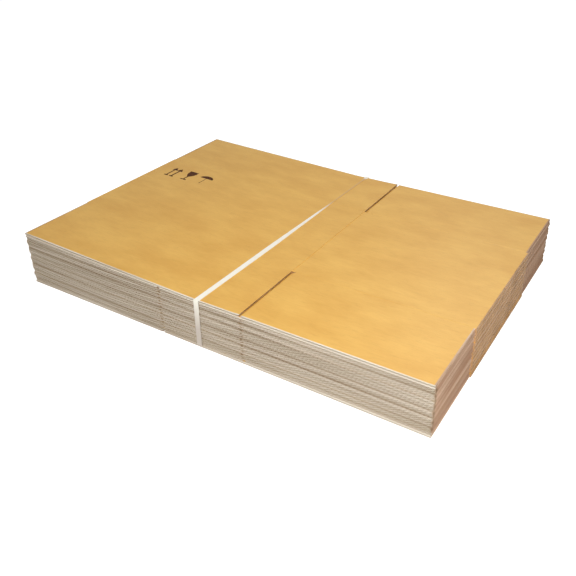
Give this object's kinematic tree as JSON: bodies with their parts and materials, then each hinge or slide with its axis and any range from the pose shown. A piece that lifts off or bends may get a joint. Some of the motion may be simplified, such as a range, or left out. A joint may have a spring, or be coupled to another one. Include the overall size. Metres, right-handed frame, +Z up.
{
  "type": "strapped pack of flattened cardboard boxes",
  "caption": "Flattened slotted cardboard boxes in a flat pack, held together by a plastic strap round the middle.",
  "frame": {"origin": "middle of the underside, on the surface the pack lies on", "axes": "+X along the long side towards the flat-pressed folds, +Y from the front flap edge to the back one, +Z up through the stack"},
  "size_m": [1.0047, 0.7305, 0.1265],
  "materials": {
    "kraft_board": "matt kraft liner with open flutes at the cut edges",
    "strap_plastic": "semi-gloss white polypropylene tape"
  },
  "bodies": {
    "root": {"flat_box_01": "kraft_board", "flat_box_02": "kraft_board", "flat_box_03": "kraft_board", "flat_box_04": "kraft_board", "flat_box_05": "kraft_board", "flat_box_06": "kraft_board", "flat_box_07": "kraft_board", "flat_box_08": "kraft_board", "flat_box_09": "kraft_board", "flat_box_10": "kraft_board", "flat_box_11": "kraft_board", "flat_box_12": "kraft_board", "flat_box_13": "kraft_board", "flat_box_14": "kraft_board", "flat_box_15": "kraft_board", "strap": "strap_plastic"}
  },
  "joints": []
}
